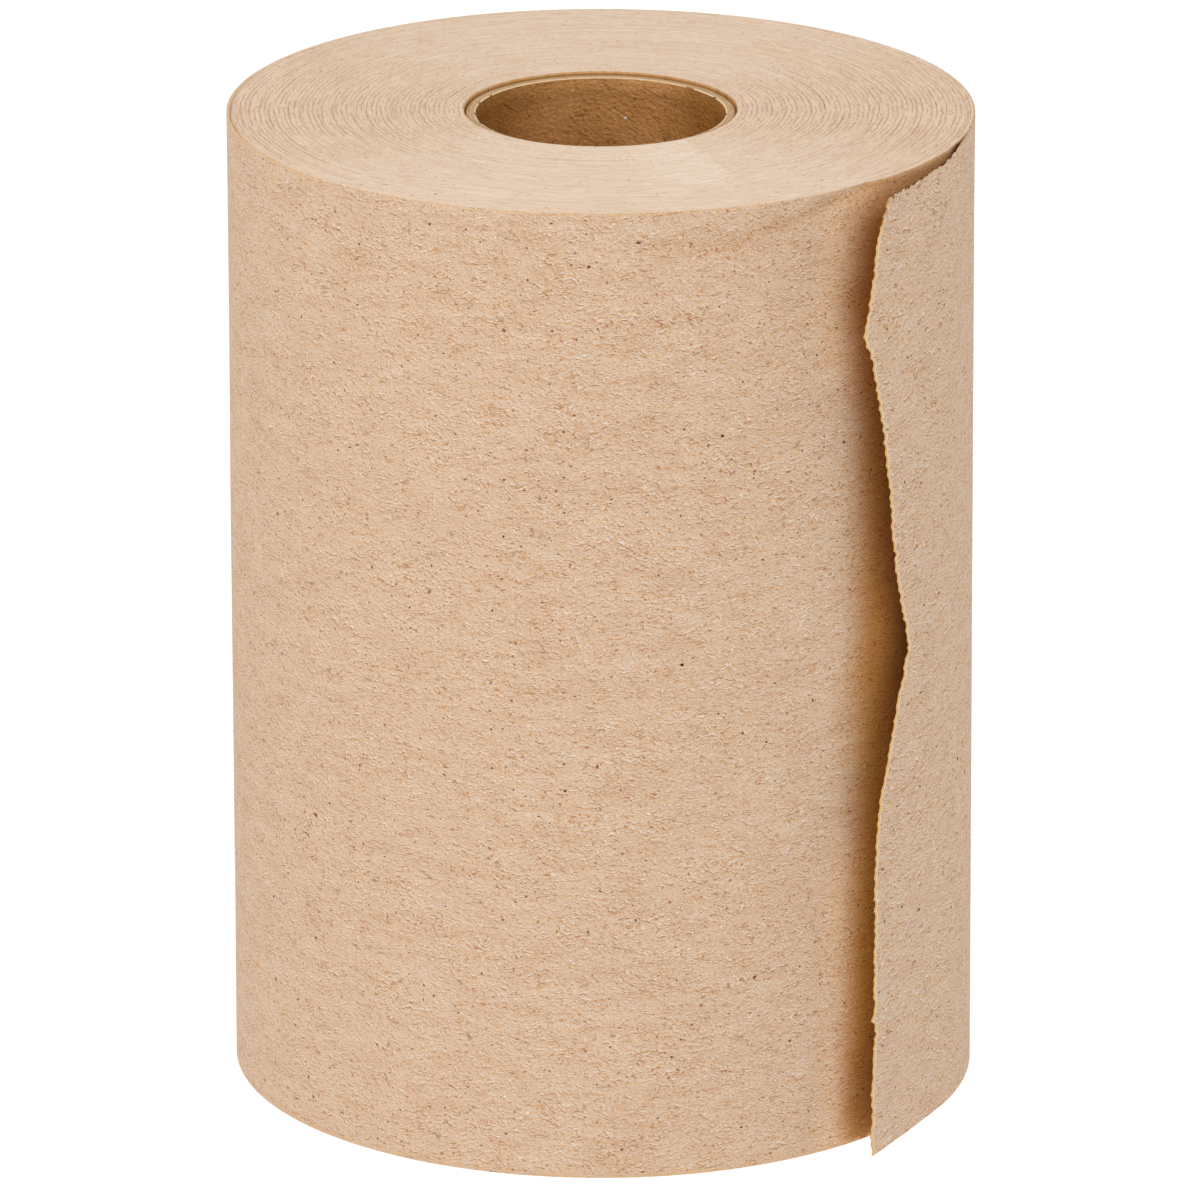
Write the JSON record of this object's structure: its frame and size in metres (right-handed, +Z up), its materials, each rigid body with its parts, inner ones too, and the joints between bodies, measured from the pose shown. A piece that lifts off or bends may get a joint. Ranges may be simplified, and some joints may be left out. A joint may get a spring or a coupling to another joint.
{
  "type": "paper towel roll",
  "caption": "Hard-wound roll of brown crepe paper towel on a cardboard core, standing on its end, with a loose torn tail.",
  "frame": {"origin": "on the core tube's axis, in the plane of the lower end face that the roll stands on", "axes": "+Z up along the core's axis; the loose end of the paper lies towards +X and -Y"},
  "size_m": [0.1528, 0.152, 0.203],
  "materials": {
    "core_board": "matte brown kraft board",
    "crepe_paper": "matte unbleached crepe paper with fine fibres and specks"
  },
  "bodies": {
    "root": {"cardboard_core": "core_board", "paper_roll": "crepe_paper"}
  },
  "joints": []
}
